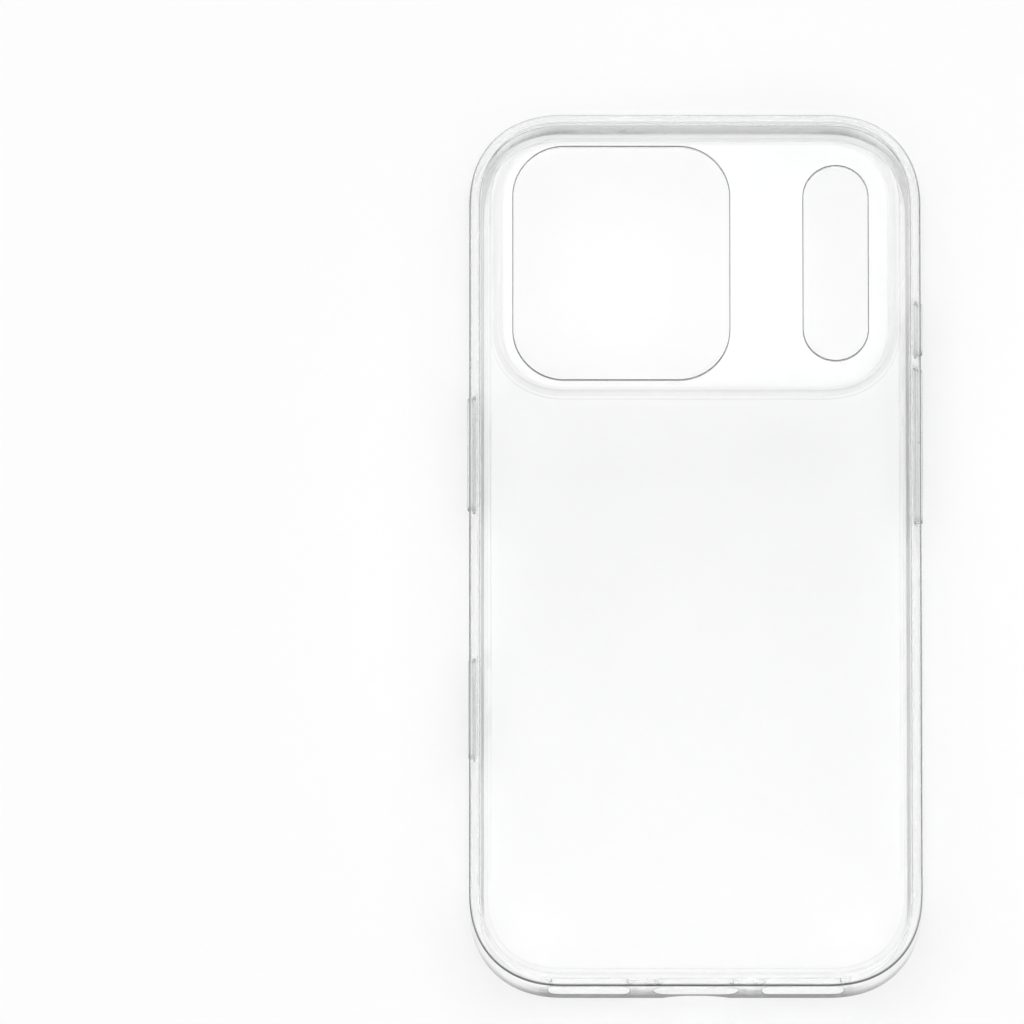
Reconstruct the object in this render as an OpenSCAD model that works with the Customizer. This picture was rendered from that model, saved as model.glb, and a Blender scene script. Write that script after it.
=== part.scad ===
/* [Case] */
// Width of the case across its side walls
case_w = 75.0; // [68:0.1:84]
// Length of the case from the charging end to the camera end
case_l = 148.2; // [138:0.1:170]
// Height from the front rim to the flat of the back
case_h = 11.0; // [10.6:0.1:11.6]
// Radius of the four outer corners, seen from behind
corner_r = 14.0; // [12:0.1:16]
// Thickness of the side walls
wall_t = 1.5; // [1.4:0.05:1.7]
// Rounding where the side walls turn into the back
back_round = 1.6; // [1.0:0.1:1.8]
// Rounding of the front rim's outer edge
rim_round = 0.2; // [0.1:0.1:0.6]

/* [Retaining lip] */
// How far the lip reaches in over the phone's screen
lip_reach = 0.9; // [0.6:0.1:1.2]
// Height of the lip's straight nose
lip_nose = 0.9; // [0.7:0.1:1.0]
// Height at which the sloped lip meets the wall
lip_top = 1.8; // [1.6:0.1:1.9]

/* [Back panel] */
// Distance from the outer wall to the seam between frame and panel
seam_in = 2.0; // [2.0:0.1:2.4]
// Distance from the outer wall to the inner edge of the bonding shelf
shelf_in = 3.0; // [2.8:0.1:3.2]
// Thickness of the panel outside the shelf
panel_t = 1.2; // [1.0:0.1:1.4]
// Thickness of the bonding shelf under the panel's edge
shelf_t = 0.6; // [0.5:0.1:0.8]

/* [Camera plateau] */
// Width of the raised plateau at its foot
plateau_w = 67.4; // [64:0.1:68]
// Length of the raised plateau at its foot
plateau_l = 44.7; // [42:0.1:46]
// Height of the plateau over the flat of the back
plateau_rise = 1.6; // [1.2:0.1:2.0]
// How far the plateau's sides lean in
plateau_lean = 1.15; // [0.8:0.05:1.3]
// Corner radius of the plateau's foot
plateau_r = 11.2; // [10.5:0.1:12]
// Thickness of the plateau's roof
roof_t = 1.2; // [1.0:0.1:1.4]
// Width of the lens opening
lens_w = 35.9; // [34:0.1:37]
// Length of the lens opening
lens_l = 39.7; // [38:0.1:40.4]
// Corner radius of the lens opening
lens_r = 8.5; // [6:0.1:10]
// Width of the flash and sensor slot
slot_w = 10.7; // [9:0.1:11.5]
// Length of the flash and sensor slot
slot_l = 33.1; // [28:0.1:35]

/* [Button covers] */
// Length of the power button's cover, on the left side
power_l = 19.2; // [16:0.1:21]
// Length of the camera control's cover, on the left side
control_l = 16.7; // [14:0.1:18]
// Length of the action button's cover, on the right side
action_l = 8.9; // [8:0.1:9.2]
// Length of the volume button's cover, on the right side
volume_l = 26.2; // [22:0.1:26.6]
// Height of the covers, along the wall's height
cover_h = 3.6; // [3.0:0.1:3.8]
// How far the button covers stand proud of the wall
cover_proud = 0.33; // [0.2:0.01:0.4]
// How far the camera control's cover stands proud
control_proud = 0.18; // [0.1:0.01:0.3]

/* [Charging end] */
// Width of the charging port opening
port_w = 14.1; // [12:0.1:15]
// Width of each speaker and microphone opening
speaker_w = 13.4; // [10:0.1:14]
// Distance from the centre line to the middle of a speaker opening
speaker_x = 17.7; // [16.5:0.1:18]
// Width of the dip in the front rim below the port
dip_w = 11.0; // [8:0.1:13]
// Height of that dip
dip_h = 1.9; // [1.0:0.1:2.2]

/* [Hidden] */
$fn = 64;
clear_soft = [0.93, 0.95, 0.96, 0.40];
clear_hard = [0.96, 0.97, 0.98, 0.40];
past = 1;                                  // how far a cutter runs past a face
half_w = case_w / 2;
half_l = case_l / 2;
pocket_top = case_h - panel_t - shelf_t;   // where the phone's back lies
panel_low = case_h - panel_t;              // underside of the panel's bonded edge
lean_in = lip_reach + wall_t;              // inner edge of the lip, from outside
inner_fillet = 0.5;                        // between side wall and shelf
lip_round = 0.4;                           // inner edge of the front rim

// Plateau and what passes through it: it stands 3.8 in from the camera end.
plateau_y = half_l - 3.8 - plateau_l / 2;
roof_top = case_h + plateau_rise;
roof_low = roof_top - roof_t;
hollow_in = 0.2;                           // plateau's hollow, in from its foot
hollow_lean = 1.55;                        // how far its sides lean in up to the roof
lens_x = -12.24;
lens_y = plateau_y + 0.15;
slot_x = 23.35;

// Buttons: the middle of each cover along the side, and their common height.
cover_z = 5.3;
power_y = 17.0;
control_y = -26.4;
action_y = 38.35;
volume_y = 18.4;
slide_gap = 0.12;                          // clearance round a cover in its slot
flange_lap = 0.4;                          // flange past the cover on each side
flange_t = 0.4;
press_room = 0.15;                         // flange to recess floor, sliding covers
rock_room = 0.35;                          // the same on the rocking volume cover
recess_floor = 0.5;                        // wall left outside the flange's recess
crown_step = 0.15;                         // the cover's outer edge is broken by this
crown_in = 0.25;
rib_r = 0.3;                               // fulcrum rib of the volume cover

// Charging end: lower and upper edges of the openings.
port_low = 3.1;
port_high = 8.2;
port_r = 2.4;
speaker_low = 3.3;
speaker_high = 8.4;
speaker_r = 1.2;

// A rectangle with round corners, centred.
module rounded_rect(w, l, r) {
    square([w - 2 * r, l], center = true);
    square([w, l - 2 * r], center = true);
    for (sx = [-1, 1], sy = [-1, 1])
        translate([sx * (w / 2 - r), sy * (l / 2 - r)]) circle(r);
}

// A slot with half-round ends, its length along X.
module stadium(l, h) {
    square([l - h, h], center = true);
    for (s = [-1, 1]) translate([s * (l - h) / 2, 0]) circle(d = h);
}

// Cuts a convex corner at the origin to radius r; the solid lies in +X +Y.
module corner_cut(r) {
    difference() {
        translate([-past, -past]) square(r + past);
        translate([r, r]) circle(r);
    }
}

// Carries the 2D children round a rounded rectangle. Their X is the distance
// from the corner's centre, so X = r is the outline, and their Y becomes Z.
module carry_round(w, l, r) {
    for (k = [0:3]) {
        cx = w / 2 - r;
        cy = l / 2 - r;
        run = (k % 2 == 0) ? cy : cx;
        out = (k % 2 == 0) ? cx : cy;
        rotate([0, 0, 90 * k])
            translate([out, run, 0]) rotate([90, 0, 0]) linear_extrude(2 * run) children();
        translate([(k == 0 || k == 3) ? cx : -cx, (k < 2) ? cy : -cy, 0])
            rotate([0, 0, 90 * k]) rotate_extrude(angle = 90) children();
    }
}

// The frame's cross-section: side wall, sloped lip, back flange and shelf.
module frame_profile() {
    x_in = corner_r - wall_t;
    difference() {
        union() {
            translate([x_in, 0]) square([wall_t, case_h]);
            polygon([[x_in, 0], [x_in, lip_top], [corner_r - lean_in, lip_nose],
                     [corner_r - lean_in, 0]]);
            translate([corner_r - seam_in, pocket_top])
                square([seam_in - wall_t, case_h - pocket_top]);
            translate([corner_r - shelf_in, pocket_top])
                square([shelf_in - seam_in, shelf_t]);
            translate([x_in, pocket_top]) mirror([1, 1, 0]) difference() {
                square(inner_fillet);
                translate([inner_fillet, inner_fillet]) circle(inner_fillet);
            }
        }
        translate([corner_r, 0]) mirror([1, 0, 0]) corner_cut(rim_round);
        translate([corner_r, case_h]) rotate(180) corner_cut(back_round);
        translate([corner_r - lean_in, 0]) corner_cut(lip_round);
    }
}

// Puts 2D children, drawn with X along the side and Y up, on the side wall.
// side is 1 for the right wall and -1 for the left; from and to are distances
// in from the outer face.
module on_side(side, y, from, to) {
    translate([side * (half_w - to), y, cover_z]) rotate([90, 0, side * 90])
        linear_extrude(to - from) children();
}

// The slot for a cover and, inside the wall, the recess for its flange.
module cover_slot(side, y, l) {
    on_side(side, y, -past, wall_t + past)
        stadium(l + 2 * slide_gap, cover_h + 2 * slide_gap);
    on_side(side, y, recess_floor, wall_t + past)
        stadium(l + 2 * (flange_lap + slide_gap), cover_h + 2 * (flange_lap + slide_gap));
}

// A cover: crown outside, body in the slot, flange behind it in the recess.
module cover(side, y, l, proud, room) {
    flange_at = recess_floor + room;
    on_side(side, y, -proud, -proud + crown_step)
        stadium(l - 2 * crown_in, cover_h - 2 * crown_in);
    on_side(side, y, -proud + crown_step, flange_at + flange_t) stadium(l, cover_h);
    on_side(side, y, flange_at, flange_at + flange_t)
        stadium(l + 2 * flange_lap, cover_h + 2 * flange_lap);
}

// An opening through the charging end's wall.
module end_opening(x, w, low, high, r) {
    translate([x, -half_l + lean_in + past, (low + high) / 2]) rotate([90, 0, 0])
        linear_extrude(lean_in + 2 * past) rounded_rect(w, high - low, r);
}

// The arched dip in the front rim below the port.
module rim_dip() {
    dip_r = (pow(dip_w / 2, 2) + pow(dip_h, 2)) / (2 * dip_h);
    translate([0, -half_l + lean_in + past, dip_h - dip_r]) rotate([90, 0, 0])
        cylinder(r = dip_r, h = lean_in + 2 * past);
}

module bumper_frame() {
    color(clear_soft) difference() {
        carry_round(case_w, case_l, corner_r) frame_profile();
        cover_slot(-1, power_y, power_l);
        cover_slot(-1, control_y, control_l);
        cover_slot(1, action_y, action_l);
        cover_slot(1, volume_y, volume_l);
        end_opening(0, port_w, port_low, port_high, port_r);
        for (s = [-1, 1])
            end_opening(s * speaker_x, speaker_w, speaker_low, speaker_high, speaker_r);
        rim_dip();
    }
}

// A block on the XY plane with a round rectangle as its foot and sides that
// lean in.
module leaning_block(w, l, r, lean, rise) {
    linear_extrude(rise) rounded_rect(w - 2 * lean, l - 2 * lean, r - lean);
    carry_round(w, l, r) polygon([[r - lean, 0], [r, 0], [r - lean, rise]]);
}

// The hollow under the plateau. It starts a little below the panel, wider by
// as much as its sides lean.
module plateau_hollow() {
    sink = 0.5;
    rise = roof_low - pocket_top;
    out = hollow_lean * sink / rise - hollow_in;
    translate([0, plateau_y, pocket_top - sink])
        leaning_block(plateau_w + 2 * out, plateau_l + 2 * out, plateau_r + out,
                      hollow_lean * (rise + sink) / rise, rise + sink);
}

module back_panel() {
    color(clear_hard) difference() {
        union() {
            translate([0, 0, panel_low]) linear_extrude(panel_t)
                rounded_rect(case_w - 2 * seam_in, case_l - 2 * seam_in, corner_r - seam_in);
            translate([0, 0, pocket_top]) linear_extrude(shelf_t)
                rounded_rect(case_w - 2 * shelf_in, case_l - 2 * shelf_in, corner_r - shelf_in);
            translate([0, plateau_y, case_h])
                leaning_block(plateau_w, plateau_l, plateau_r, plateau_lean, plateau_rise);
        }
        plateau_hollow();
        translate([lens_x, lens_y, roof_low - past]) linear_extrude(roof_t + 2 * past)
            rounded_rect(lens_w, lens_l, lens_r);
        translate([slot_x, lens_y, roof_low - past]) rotate([0, 0, 90])
            linear_extrude(roof_t + 2 * past) stadium(slot_l, slot_w);
    }
}

module action_button_cover() {
    color(clear_hard) cover(1, action_y, action_l, cover_proud, press_room);
}

module volume_button_cover() {
    color(clear_hard) {
        cover(1, volume_y, volume_l, cover_proud, rock_room);
        translate([half_w - recess_floor - rock_room - flange_t, volume_y, cover_z])
            cylinder(r = rib_r, h = cover_h, center = true);
    }
}

module power_button_cover() {
    color(clear_hard) cover(-1, power_y, power_l, cover_proud, press_room);
}

module camera_control_cover() {
    color(clear_hard) cover(-1, control_y, control_l, control_proud, press_room);
}

bumper_frame();
back_panel();
action_button_cover();
volume_button_cover();
power_button_cover();
camera_control_cover();
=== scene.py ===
"""A clear phone case: soft frame, hard back panel and four sprung button covers.

Every shape is a surface worked out with numpy in millimetres and put into a mesh in metres.
The case lies on its front rim, its back up, the camera end towards +Y.
"""

import logging
import math
from dataclasses import dataclass, field
from enum import Enum

import bmesh
import bpy
import numpy as np
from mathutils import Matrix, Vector

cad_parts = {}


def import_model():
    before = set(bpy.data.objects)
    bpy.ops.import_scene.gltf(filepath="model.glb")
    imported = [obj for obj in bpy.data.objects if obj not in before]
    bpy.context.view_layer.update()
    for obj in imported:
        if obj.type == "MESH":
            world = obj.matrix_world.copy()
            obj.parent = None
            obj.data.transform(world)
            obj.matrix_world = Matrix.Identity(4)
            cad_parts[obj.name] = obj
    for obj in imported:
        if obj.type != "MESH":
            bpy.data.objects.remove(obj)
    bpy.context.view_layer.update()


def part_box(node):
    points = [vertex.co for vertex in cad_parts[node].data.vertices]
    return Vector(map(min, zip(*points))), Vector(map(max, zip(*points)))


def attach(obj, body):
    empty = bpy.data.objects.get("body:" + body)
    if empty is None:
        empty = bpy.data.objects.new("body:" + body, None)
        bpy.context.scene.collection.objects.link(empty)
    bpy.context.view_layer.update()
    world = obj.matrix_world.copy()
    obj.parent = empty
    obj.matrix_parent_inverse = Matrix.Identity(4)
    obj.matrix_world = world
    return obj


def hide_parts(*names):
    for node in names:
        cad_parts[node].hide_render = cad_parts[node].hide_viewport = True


MM = 0.001
WELD = 2e-7  # metres: points of neighbouring grids this close are one
HOLD = 0.04  # mm past a rounding, where a flat face gets a row that keeps its shading flat
ROUND_STEPS = 6
FINE = 0.1  # mm: roundings up to this radius carry no painted edge shade
FLANGE_LAP = 0.4  # mm: a cover's flange past the cover on each side
STEEP_FROM = 0.67  # upward share of a normal at which the painted edge shade starts
STEEP_FULL = 0.42  # and at which it is full

log = logging.getLogger("phone_case")


class Side(Enum):
    """A side wall of the case, by the quarter turns from the right wall to its middle."""

    RIGHT = 0
    CAMERA_END = 1
    LEFT = 2
    CHARGING_END = 3


# --- shapes -------------------------------------------------------------------------------


def round_corner(before: np.ndarray, corner: np.ndarray, after: np.ndarray, radius: float,
                 steps: int = ROUND_STEPS) -> np.ndarray:
    """Rounds one corner of an outline.

    The arc touches both edges at radius over the tangent of half the corner's angle, and its
    points are found by turning evenly from one touching point to the other. A row held a
    little past each touching point keeps the edges flat in the shading.

    Args:
        before, corner, after: three points of the outline, two numbers each.
        radius: radius of the arc.
        steps: steps along the arc.

    Returns:
        The points that stand for the corner, each with a painted edge shade share of 1 on a wide arc and 0
        elsewhere.
    """
    back = (before - corner) / np.linalg.norm(before - corner)
    ahead = (after - corner) / np.linalg.norm(after - corner)
    half = 0.5 * math.acos(float(np.clip(back @ ahead, -1, 1)))
    reach = radius / math.tan(half)
    middle = back + ahead
    centre = corner + middle / np.linalg.norm(middle) * radius / math.sin(half)
    first, last = corner + back * reach - centre, corner + ahead * reach - centre
    turn = math.pi - 2 * half
    share = np.linspace(0, 1, steps + 1)[:, None]
    arc = centre + (np.sin((1 - share) * turn) * first + np.sin(share * turn) * last) / math.sin(turn)
    points = np.vstack([corner + back * (reach + HOLD), arc, corner + ahead * (reach + HOLD)])
    return np.column_stack([points, np.r_[0, np.full(steps + 1, float(radius > FINE)), 0]])


def round_line(points: list[tuple[float, float, float]]) -> np.ndarray:
    """Rounds an open line. Each point is (across, along, radius), and the two ends stay out.

    Args:
        points: the line's points with their radii; the ends only give a direction.

    Returns:
        The rounded line without its two end points, in rows of (across, along, painted edge shade share).
    """
    line = np.array([p[:2] for p in points], float)
    return np.vstack([
        round_corner(line[i - 1], line[i], line[i + 1], points[i][2])
        for i in range(1, len(points) - 1)
    ])


def cap_loop(half_x: float, half_y: float, radius: float, counts: tuple[int, int, int, int, int],
             spread: float = 0.0) -> np.ndarray:
    """A rectangle with round corners as one closed loop, anticlockwise from its bottom left.

    A point is a corner's centre plus the radius in the direction of an angle. Along a straight
    side the centre moves and the angle stays. Where the ends are half rounds, the straight has
    no length, so the angle turns there instead.

    Args:
        half_x, half_y: half its size each way.
        radius: corner radius.
        counts: steps along the bottom and top, right arc, right straight, left arc, left straight.
        spread: unused length under which a straight side counts as none.

    Returns:
        The loop's points, without repeating the first.
    """
    flat_x, flat_y = half_x - radius, half_y - radius
    across, right_arc, right_flat, left_arc, left_flat = counts
    if flat_x > spread:
        turn_low = turn_high = 90.0
    else:
        step = 180.0 / (left_arc + across + right_arc)
        turn_low, turn_high = left_arc * step, right_arc * step

    def run(x0: float, x1: float, y0: float, y1: float, a0: float, a1: float, n: int) -> np.ndarray:
        """One stretch of the loop: the centre moves while the angle turns.

        Args:
            x0, x1: the centre's x at its start and end.
            y0, y1: the centre's y at its start and end.
            a0, a1: the angle in degrees at its start and end.
            n: steps.

        Returns:
            The stretch's points, without its end.
        """
        share = np.arange(n) / n
        angle = np.radians(a0 + (a1 - a0) * share)
        return np.stack([x0 + (x1 - x0) * share + radius * np.cos(angle),
                         y0 + (y1 - y0) * share + radius * np.sin(angle)], -1)

    low_end, low_start = 360 - turn_high, 180 + turn_low
    parts = [
        run(-flat_x, flat_x, -flat_y, -flat_y, low_start, low_end, across),
        run(flat_x, flat_x, -flat_y, -flat_y, low_end, 360, right_arc),
        run(flat_x, flat_x, -flat_y, flat_y, 360, 360, right_flat),
        run(flat_x, flat_x, flat_y, flat_y, 0, turn_high, right_arc),
        run(flat_x, -flat_x, flat_y, flat_y, turn_high, 180 - turn_low, across),
        run(-flat_x, -flat_x, flat_y, flat_y, 180 - turn_low, 180, left_arc),
        run(-flat_x, -flat_x, flat_y, -flat_y, 180, 180, left_flat),
        run(-flat_x, -flat_x, -flat_y, -flat_y, 180, low_start, left_arc),
    ]
    return np.vstack([p for p in parts if len(p)])


@dataclass(frozen=True)
class SoftOutline:
    """A rectangle whose corners ease in and out, as a moulded case's do.

    Each corner is a quarter of a superellipse: x and y are the reach times the cosine and the
    sine of an angle, both to the power two over the roundness.
    """

    width: float
    length: float
    reach: float
    roundness: float = 2.3
    centre_x: float = 0.0
    centre_y: float = 0.0

    def corner(self, steps: int) -> tuple[np.ndarray, np.ndarray]:
        """The upper right corner, from its right end to its top end.

        Args:
            steps: steps along it.

        Returns:
            Its points about the corner's own centre, and the outward normals.
        """
        angle = np.linspace(0, math.pi / 2, steps + 1)
        raw = np.stack([np.abs(np.cos(angle)), np.abs(np.sin(angle))], -1)
        raw[raw < 1e-12] = 0
        points = self.reach * raw ** (2 / self.roundness)
        normal = raw ** (2 * (self.roundness - 1) / self.roundness)
        return points, normal / np.linalg.norm(normal, axis=1, keepdims=True)

    def loop(self, across: np.ndarray, along: int, round_steps: int) -> tuple[np.ndarray, np.ndarray]:
        """The outline anticlockwise from the left end of its lower side.

        Args:
            across: places along the lower and upper sides, from -1 on the left to 1.
            along: steps along the left and right sides.
            round_steps: steps along each corner.

        Returns:
            Its points and their outward normals.
        """
        flat_x, flat_y = self.width / 2 - self.reach, self.length / 2 - self.reach
        corner, normal = self.corner(round_steps)
        up = np.linspace(-1, 1, along + 1)[:-1] * flat_y
        swap = corner[::-1], normal[::-1]
        sides = [
            (np.stack([across[:-1] * flat_x, np.full(len(across) - 1, -self.length / 2)], -1), (0, -1)),
            (swap[0][:-1] * (1, -1) + (flat_x, -flat_y), swap[1][:-1] * (1, -1)),
            (np.stack([np.full(along, self.width / 2), up], -1), (1, 0)),
            (corner[:-1] + (flat_x, flat_y), normal[:-1]),
            (np.stack([across[:0:-1] * flat_x, np.full(len(across) - 1, self.length / 2)], -1), (0, 1)),
            (swap[0][:-1] * (-1, 1) + (-flat_x, flat_y), swap[1][:-1] * (-1, 1)),
            (np.stack([np.full(along, -self.width / 2), -up], -1), (-1, 0)),
            (corner[:-1] * -1 + (-flat_x, -flat_y), -normal[:-1]),
        ]
        points = np.vstack([p for p, _ in sides]) + (self.centre_x, self.centre_y)
        normals = np.vstack([np.broadcast_to(n, p.shape) for p, n in sides])
        return points, normals


class WallPath:
    """The case's outline by the distance round it, from the middle of the right wall."""

    def __init__(self, outline: SoftOutline, steps: int = 1500) -> None:
        """Measures the outline.

        Args:
            outline: the case's outer outline.
            steps: steps along each corner.
        """
        points, normals = outline.loop(np.array([-1.0, 0.0, 1.0]), 2, steps)
        start = int(np.argmin(np.hypot(points[:, 0] - outline.width / 2, points[:, 1])))
        self.points = np.vstack([np.roll(points, -start, 0), points[start]])
        self.normals = np.vstack([np.roll(normals, -start, 0), normals[start]])
        step = np.linalg.norm(np.diff(self.points, axis=0), axis=1)
        self.distance = np.concatenate([[0], np.cumsum(step)])
        self.total = float(self.distance[-1])

    def middle(self, side: Side) -> float:
        """The distance round to the middle of a side."""
        return self.total * side.value / 4

    def place(self, along: np.ndarray, depth: np.ndarray, height: np.ndarray) -> np.ndarray:
        """Points of the wall: the outline's point, moved in along its normal by the depth.

        Args:
            along: distance round the case.
            depth: distance in from the outer face.
            height: height over the front rim's plane.

        Returns:
            The points, three numbers each, in millimetres.
        """
        along, depth, height = np.broadcast_arrays(along, depth, height)
        at = np.mod(along, self.total)
        x, y = (np.interp(at, self.distance, self.points[:, i]) for i in (0, 1))
        nx, ny = (np.interp(at, self.distance, self.normals[:, i]) for i in (0, 1))
        length = np.hypot(nx, ny)
        return np.stack([x - depth * nx / length, y - depth * ny / length, height], -1)


class Shell:
    """Gathers grids of points in millimetres and joins them into one closed mesh."""

    def __init__(self) -> None:
        """Starts with no grid."""
        self.points: list[np.ndarray] = []
        self.quads: list[np.ndarray] = []
        # the painted dark shade at steep rounded edges, the painted dark shade at any angle, and the share
        # of light that passes unbent
        self.marks: dict[str, list[np.ndarray]] = {"edge_shade_paint": [], "plain_shade_paint": [], "mellow": []}
        self.total = 0

    def add(self, grid: np.ndarray, wrap_rows: bool = False, wrap_columns: bool = False,
            keep: np.ndarray | None = None, edge: np.ndarray | float = 0.0,
            plain_shade_paint: np.ndarray | float = 0.0, mellow: np.ndarray | float = 0.0) -> None:
        """Adds one grid, with a face between each four neighbouring points.

        Args:
            grid: rows by columns of points.
            wrap_rows: the last row joins the first.
            wrap_columns: the last column joins the first.
            keep: for each face, whether it is made.
            edge: share of painted dark shade, shown where the surface is steep.
            plain_shade_paint: share of painted dark shade, shown at any steepness.
            mellow: share of light that passes the surface unbent.
        """
        rows, columns = grid.shape[:2]
        index = np.arange(rows * columns).reshape(rows, columns) + self.total
        if wrap_rows:
            index = np.vstack([index, index[:1]])
        if wrap_columns:
            index = np.hstack([index, index[:, :1]])
        quads = np.stack([index[:-1, :-1], index[1:, :-1], index[1:, 1:], index[:-1, 1:]], -1)
        self.quads.append((quads if keep is None else quads[keep]).reshape(-1, 4))
        self.points.append(grid.reshape(-1, 3))
        for label, values in (("edge_shade_paint", edge), ("plain_shade_paint", plain_shade_paint), ("mellow", mellow)):
            self.marks[label].append(np.broadcast_to(values, (rows, columns)).ravel())
        self.total += rows * columns

    def make(self, name: str) -> bpy.types.Object:
        """Makes the mesh: welds the grids' shared edges and turns every face outwards.

        Args:
            name: name of the piece.

        Returns:
            The new object, at the origin.
        """
        mesh = bpy.data.meshes.new(name)
        mesh.from_pydata((np.vstack(self.points) * MM).tolist(), [], np.vstack(self.quads).tolist())
        for label, values in self.marks.items():
            attribute = mesh.attributes.new(label, "FLOAT", "POINT")
            attribute.data.foreach_set("value", np.concatenate(values).astype(np.float32))
        work = bmesh.new()
        work.from_mesh(mesh)
        bmesh.ops.delete(work, geom=[v for v in work.verts if not v.link_faces], context="VERTS")
        bmesh.ops.remove_doubles(work, verts=work.verts, dist=WELD)
        bmesh.ops.dissolve_degenerate(work, edges=work.edges, dist=WELD)
        bmesh.ops.recalc_face_normals(work, faces=work.faces)
        open_edges = sum(1 for e in work.edges if len(e.link_faces) != 2)
        if work.calc_volume(signed=True) < 0:
            bmesh.ops.reverse_faces(work, faces=work.faces)
        work.to_mesh(mesh)
        work.free()
        mesh.polygons.foreach_set("use_smooth", np.ones(len(mesh.polygons), bool))
        piece = bpy.data.objects.new(name, mesh)
        bpy.context.scene.collection.objects.link(piece)
        log.info("%s: %d faces, %d open edges", name, len(mesh.polygons), open_edges)
        return piece


# --- finishes -----------------------------------------------------------------------------


def new_group(name: str, inputs: dict[str, tuple[str, object]],
              outputs: dict[str, str]) -> tuple[bpy.types.NodeTree, dict, dict]:
    """Makes an empty shader node group with named sockets.

    Args:
        name: the group's name.
        inputs: socket type and default value by name.
        outputs: socket type by name.

    Returns:
        The group, its inputs' sockets by name and its outputs' sockets by name.
    """
    group = bpy.data.node_groups.new(name, "ShaderNodeTree")
    for label, (kind, value) in inputs.items():
        socket = group.interface.new_socket(label, in_out="INPUT", socket_type=kind)
        if value is not None:
            socket.default_value = value
    for label, kind in outputs.items():
        group.interface.new_socket(label, in_out="OUTPUT", socket_type=kind)
    start, end = group.nodes.new("NodeGroupInput"), group.nodes.new("NodeGroupOutput")
    return group, {k: start.outputs[k] for k in inputs}, {k: end.inputs[k] for k in outputs}


def add_noise(tree: bpy.types.NodeTree, vector: bpy.types.NodeSocket, scale: float | bpy.types.NodeSocket,
              detail: float) -> bpy.types.NodeSocket:
    """Adds a noise texture.

    Args:
        tree: the tree that it goes into.
        vector: where it reads its place.
        scale: its scale, plain or from a socket.
        detail: octaves.

    Returns:
        Its value.
    """
    node = tree.nodes.new("ShaderNodeTexNoise")
    node.inputs["Detail"].default_value = detail
    tree.links.new(vector, node.inputs["Vector"])
    if isinstance(scale, bpy.types.NodeSocket):
        tree.links.new(scale, node.inputs["Scale"])
    else:
        node.inputs["Scale"].default_value = scale
    return node.outputs["Fac"]


def add_math(tree: bpy.types.NodeTree, kind: str,
             *values: float | bpy.types.NodeSocket) -> bpy.types.NodeSocket:
    """Adds a math node.

    Args:
        tree: the tree that it goes into.
        kind: its operation.
        values: its inputs, plain or from sockets.

    Returns:
        Its result.
    """
    node = tree.nodes.new("ShaderNodeMath")
    node.operation = kind
    for socket, value in zip(node.inputs, values):
        if isinstance(value, bpy.types.NodeSocket):
            tree.links.new(value, socket)
        else:
            socket.default_value = value
    return node.outputs[0]


def ripple_group() -> bpy.types.NodeTree:
    """The flow of the moulding: long soft waves under a finer peel.

    Returns:
        The group, which puts out a height.
    """
    group, ins, outs = new_group(
        "moulding_ripple",
        {"Place": ("NodeSocketVector", None), "Wave": ("NodeSocketFloat", 60.0),
         "Peel": ("NodeSocketFloat", 700.0), "Peel Share": ("NodeSocketFloat", 0.15)},
        {"Height": "NodeSocketFloat"})
    wave = add_noise(group, ins["Place"], ins["Wave"], 2.0)
    peel = add_math(group, "MULTIPLY", add_noise(group, ins["Place"], ins["Peel"], 3.0), ins["Peel Share"])
    group.links.new(add_math(group, "ADD", wave, peel), outs["Height"])
    return group


def handling_group() -> bpy.types.NodeTree:
    """Marks of handling: hairlines drawn out two ways, and cloudy rubbed patches.

    Returns:
        The group, which puts out a roughness between the smooth and the rubbed value.
    """
    group, ins, outs = new_group(
        "handling_marks",
        {"Place": ("NodeSocketVector", None), "Smooth": ("NodeSocketFloat", 0.01),
         "Rubbed": ("NodeSocketFloat", 0.12), "Hairlines": ("NodeSocketFloat", 0.5)},
        {"Roughness": "NodeSocketFloat"})
    lines = []
    for turn, stretch in ((0.5, 26.0), (-0.9, 34.0)):
        mapping = group.nodes.new("ShaderNodeMapping")
        mapping.inputs["Rotation"].default_value = (0, 0, turn)
        mapping.inputs["Scale"].default_value = (stretch, 1.0, 1.0)
        group.links.new(ins["Place"], mapping.inputs["Vector"])
        streak = add_noise(group, mapping.outputs[0], 120.0, 2.0)
        lines.append(add_math(group, "GREATER_THAN", streak, 0.71))
    hairline = add_math(group, "MULTIPLY", add_math(group, "MAXIMUM", *lines), ins["Hairlines"])
    patch = add_noise(group, ins["Place"], 45.0, 4.0)
    spread = group.nodes.new("ShaderNodeMapRange")
    spread.inputs["From Min"].default_value = 0.45
    spread.inputs["From Max"].default_value = 0.80
    group.links.new(patch, spread.inputs["Value"])
    worn = add_math(group, "MAXIMUM", hairline, spread.outputs[0])
    mix = group.nodes.new("ShaderNodeMapRange")
    group.links.new(worn, mix.inputs["Value"])
    group.links.new(ins["Smooth"], mix.inputs["To Min"])
    group.links.new(ins["Rubbed"], mix.inputs["To Max"])
    group.links.new(mix.outputs[0], outs["Roughness"])
    return group


def tint_group() -> bpy.types.NodeTree:
    """A faint unevenness in the clear resin's colour.

    Returns:
        The group, which puts out the colour.
    """
    group, ins, outs = new_group(
        "resin_tint",
        {"Place": ("NodeSocketVector", None), "Clear": ("NodeSocketColor", (1, 1, 1, 1)),
         "Cast": ("NodeSocketColor", (0.97, 0.98, 1, 1)), "Cloud": ("NodeSocketFloat", 25.0)},
        {"Color": "NodeSocketColor"})
    mix = group.nodes.new("ShaderNodeMix")
    mix.data_type = "RGBA"
    group.links.new(add_noise(group, ins["Place"], ins["Cloud"], 2.0), mix.inputs["Factor"])
    group.links.new(ins["Clear"], mix.inputs["A"])
    group.links.new(ins["Cast"], mix.inputs["B"])
    group.links.new(mix.outputs["Result"], outs["Color"])
    return group


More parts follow.
